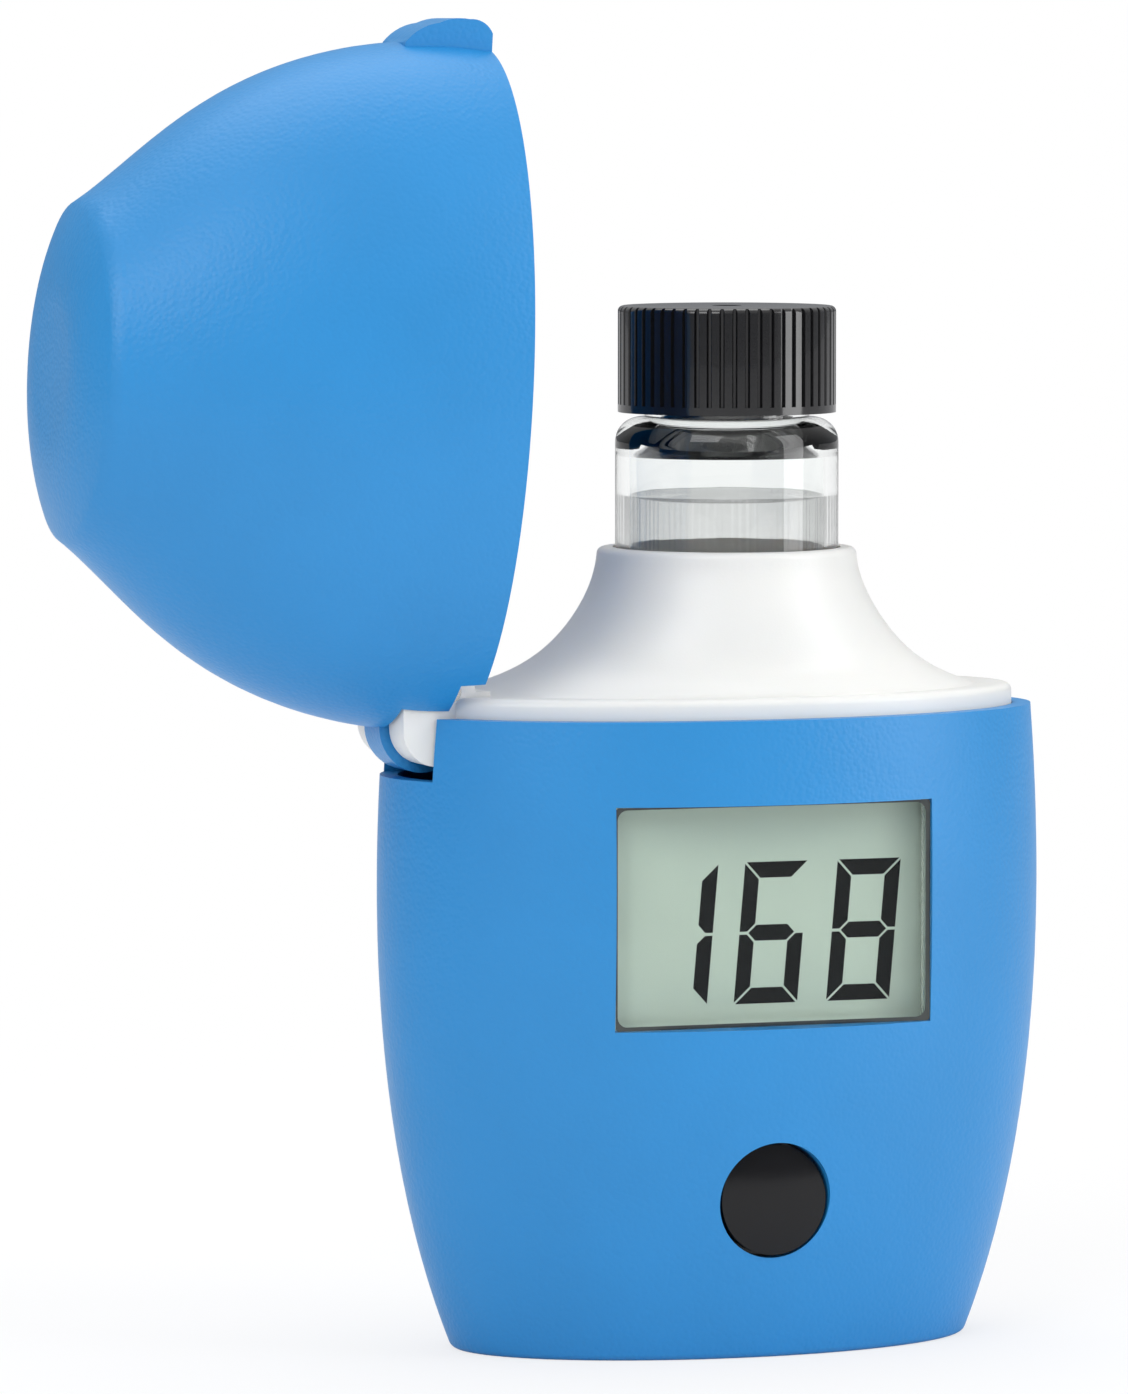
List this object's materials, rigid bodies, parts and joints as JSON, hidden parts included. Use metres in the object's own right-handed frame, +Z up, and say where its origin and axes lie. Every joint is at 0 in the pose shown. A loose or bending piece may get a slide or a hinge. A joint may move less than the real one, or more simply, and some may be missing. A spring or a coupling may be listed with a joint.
{
  "type": "portable photometer",
  "caption": "Pocket photometer with a barrel-shaped two-shell case, a hinged dome lid, a display, one button, and a capped glass sample vial in its well.",
  "frame": {"origin": "centre of the flat base that the instrument stands on", "axes": "+Z up through the case, -Y out of the display, +X to the display's right, away from the lid's hinge"},
  "size_m": [0.0917, 0.0373, 0.1173],
  "materials": {
    "case_blue": "fine leather grain",
    "collar_white": "satin",
    "well_black": "satin",
    "button_black": "glossy",
    "cap_black": "glossy",
    "holder_black": "satin",
    "vial_clear": "clear",
    "sample_clear": "clear liquid",
    "window_clear": "clear",
    "display_glass": "grey-green",
    "frame_grey": "satin",
    "strip_pink": "matt",
    "liner_foam": "matt",
    "board_green": "solder mask",
    "chip_black": "matt",
    "lamp_clear": "clear",
    "filter_amber": "tinted",
    "sensor_dark": "glossy",
    "steel": "plated",
    "contact_plate": "nickel plated",
    "cell_jacket": "printed jacket",
    "brass": "knurled"
  },
  "bodies": {
    "case": {"front_shell": "case_blue", "rear_shell": "case_blue", "top_collar": "collar_white", "vial_well": "well_black", "light_source": "lamp_clear", "optical_filter": "filter_amber", "photodetector": "sensor_dark", "lamp_board": "board_green", "sensor_board": "board_green", "hinge_pin": "steel", "lcd_window": "window_clear", "lcd_panel": "display_glass", "lcd_frame": "frame_grey", "contact_strip": "strip_pink", "main_board": "board_green", "microcontroller": "chip_black", "board_components": "chip_black", "switch_body": "chip_black", "battery_cell": "cell_jacket", "battery_contact_positive": "contact_plate", "battery_contact_negative": "contact_plate", "battery_holder": "holder_black", "case_screws": "steel", "board_screws": "steel", "screw_insert": "brass"},
    "lid": {"lid_shell": "case_blue"},
    "button": {"power_button": "button_black"},
    "plunger": {"switch_plunger": "button_black"},
    "vial": {"vial_glass": "vial_clear", "sample_liquid": "sample_clear"},
    "liner": {"cap_liner": "liner_foam"},
    "cap": {"vial_cap": "cap_black"},
    "cover": {"battery_cover": "case_blue", "cover_screw": "steel"}
  },
  "joints": [
    {"name": "lid_hinge", "type": "hinge", "parent": "case", "child": "lid", "pos_m": [-0.0264, 0, 0.0587], "axis": [0, -1, 0], "range_deg": [-87, 0]},
    {"name": "button_press", "type": "slide", "parent": "case", "child": "button", "axis": [0, 1, 0], "range_m": [0, 0.0004], "stiffness_N_per_m": 600, "springref_m": -0.001},
    {"name": "plunger_press", "type": "slide", "parent": "case", "child": "plunger", "axis": [0, 1, 0], "range_m": [0, 0.0004]},
    {"name": "vial_lift", "type": "slide", "parent": "case", "child": "vial", "axis": [0, 0, 1], "range_m": [0, 0.045]},
    {"name": "cap_lift", "type": "slide", "parent": "vial", "child": "liner", "axis": [0, 0, 1], "range_m": [0, 0.0075]},
    {"name": "cap_turn", "type": "hinge", "parent": "liner", "child": "cap", "pos_m": [0.00164, 0, 0.088], "axis": [0, 0, 1], "range_deg": [0, 900]},
    {"name": "cover_pull", "type": "slide", "parent": "case", "child": "cover", "axis": [0, 1, 0], "range_m": [0, 0.02]}
  ],
  "couplings": [
    {"joint": "plunger_press", "follows": "button_press", "ratio": 1},
    {"joint": "cap_lift", "follows": "cap_turn", "m_per_rad": 0.00047746}
  ]
}
